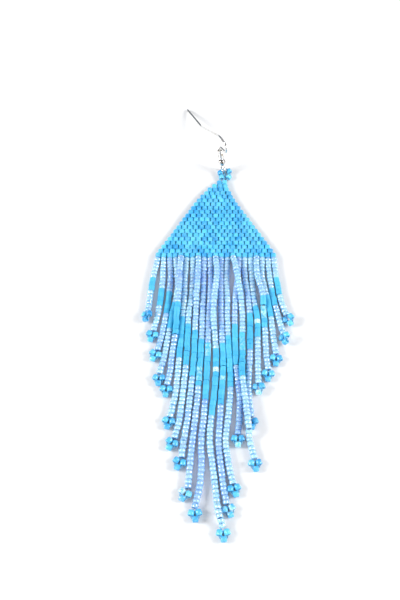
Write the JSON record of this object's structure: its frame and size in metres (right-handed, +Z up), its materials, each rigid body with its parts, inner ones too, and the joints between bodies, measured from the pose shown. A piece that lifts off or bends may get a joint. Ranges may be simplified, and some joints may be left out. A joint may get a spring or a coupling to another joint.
{
  "type": "beaded fringe earring",
  "caption": "Long beaded fringe earring lying flat: triangular brick-stitch panel, graduated strands with a V band and picot ends, on a wire ear hook.",
  "frame": {"origin": "on the table, under the middle of the whole piece as it lies", "axes": "+Y from the tips of the fringe towards the ear hook, +X to the right across the panel seen from above, +Z up from the table"},
  "size_m": [0.0406, 0.134, 0.0135],
  "materials": {
    "silver": "polished silver-coloured wire",
    "turquoise": "opaque turquoise glass with a soft luster",
    "pale": "translucent periwinkle to aqua glass, glossy",
    "thread": "pale beading thread"
  },
  "bodies": {
    "root": {"ear_hook": "silver", "hook_coil": "silver", "hook_ball": "silver", "top_loop": "turquoise", "loop_thread": "thread", "panel": "turquoise", "strand_01": "pale", "strand_02": "pale", "strand_03": "pale", "strand_04": "pale", "strand_05": "pale", "strand_06": "pale", "strand_07": "pale", "strand_08": "pale", "strand_09": "pale", "strand_10": "pale", "strand_11": "pale", "strand_12": "pale", "strand_13": "pale", "strand_14": "pale", "strand_15": "pale", "strand_16": "pale", "strand_17": "pale", "strand_18": "pale", "strand_19": "pale", "strand_20": "pale", "strand_21": "pale", "band_left": "turquoise", "band_mid": "turquoise", "band_right": "turquoise", "tip_01": "turquoise", "tip_02": "turquoise", "tip_03": "turquoise", "tip_04": "turquoise", "tip_05": "turquoise", "tip_06": "turquoise", "tip_07": "turquoise", "tip_08": "turquoise", "tip_09": "turquoise", "tip_10": "turquoise", "tip_11": "turquoise", "tip_12": "turquoise", "tip_13": "turquoise", "tip_14": "turquoise", "tip_15": "turquoise", "tip_16": "turquoise", "tip_17": "turquoise", "tip_18": "turquoise", "tip_19": "turquoise", "tip_20": "turquoise", "tip_21": "turquoise", "tip_threads": "thread"}
  },
  "joints": []
}
